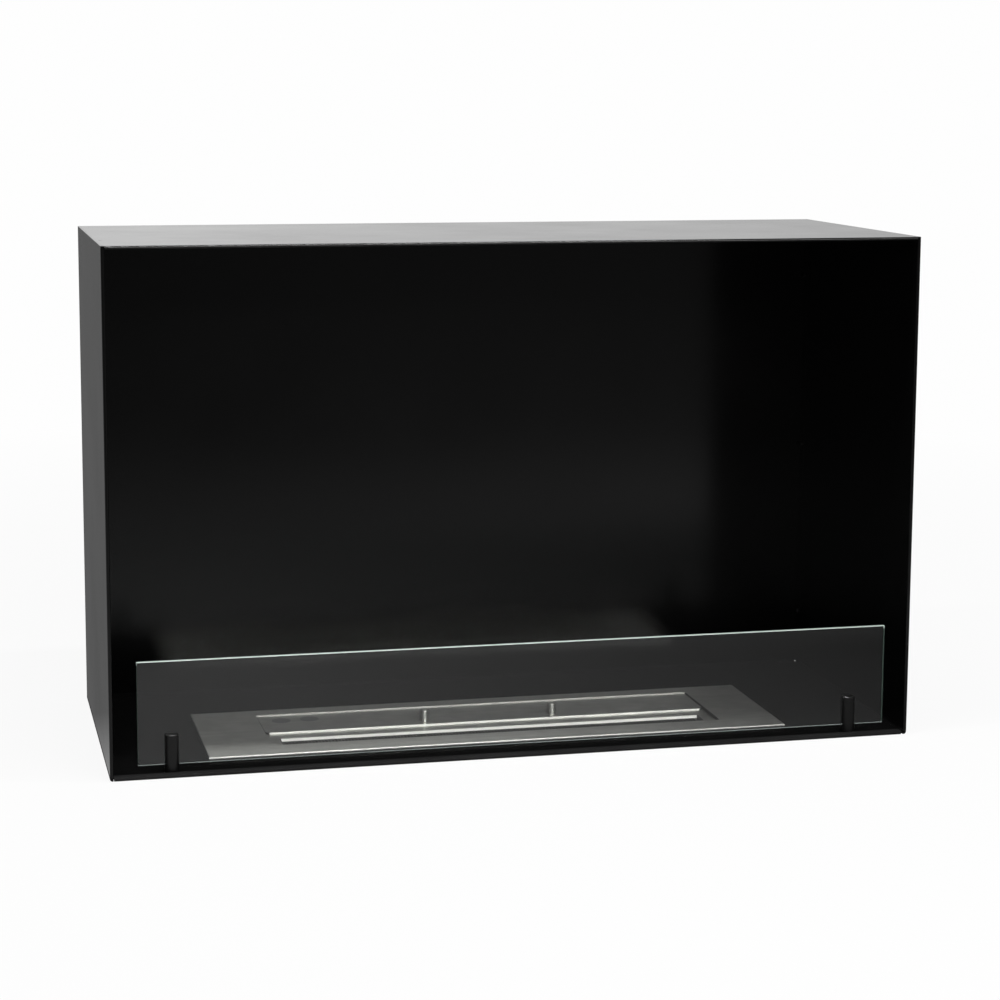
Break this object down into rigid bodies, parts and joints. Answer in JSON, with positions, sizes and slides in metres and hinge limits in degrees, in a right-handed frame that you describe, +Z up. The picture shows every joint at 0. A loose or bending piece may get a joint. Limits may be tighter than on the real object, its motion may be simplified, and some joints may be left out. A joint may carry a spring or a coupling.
{
  "type": "bioethanol fireplace",
  "caption": "Built-in bioethanol fireplace: folded black steel case, glass screen in slotted posts, drop-in stainless burner with sliding lid.",
  "frame": {"origin": "middle of the case's underside", "axes": "+X along the case's width to the right as seen from the open front, +Y towards the closed back, +Z up"},
  "size_m": [0.8, 0.314, 0.523],
  "materials": {
    "black_coat": "black satin powder coat on sheet steel",
    "rivet_black": "black coated steel rivet",
    "screw_steel": "plain steel screw",
    "stainless": "stainless steel, brushed along its length",
    "clear_glass": "clear tempered glass, polished edges",
    "silicone": "dark heat-proof silicone",
    "wool": "white ceramic fibre wool"
  },
  "bodies": {
    "case": {"case_body": "black_coat", "top_panel": "black_coat", "back_panel": "black_coat", "left_corner_cleat": "black_coat", "right_corner_cleat": "black_coat", "cleat_rivets": "rivet_black", "back_rivets": "rivet_black", "left_post": "black_coat", "right_post": "black_coat", "left_glass_pad": "silicone", "right_glass_pad": "silicone", "post_screws": "screw_steel"},
    "glass": {"glass_pane": "clear_glass"},
    "burner": {"burner_gasket": "silicone", "burner_frame": "stainless", "burner_deck": "stainless", "flame_collar": "stainless", "perforated_strip": "stainless", "ceramic_wool": "wool", "fuel_tank": "stainless"},
    "lid": {"sliding_lid": "stainless", "left_lid_pin": "stainless", "right_lid_pin": "stainless"}
  },
  "joints": [
    {"name": "glass_lift", "type": "slide", "parent": "case", "child": "glass", "axis": [0, 0, 1], "range_m": [0, 0.05]},
    {"name": "burner_lift", "type": "slide", "parent": "case", "child": "burner", "axis": [0, 0, 1], "range_m": [0, 0.05]},
    {"name": "lid_slide", "type": "slide", "parent": "burner", "child": "lid", "axis": [0, -1, 0], "range_m": [0, 0.05]}
  ]
}
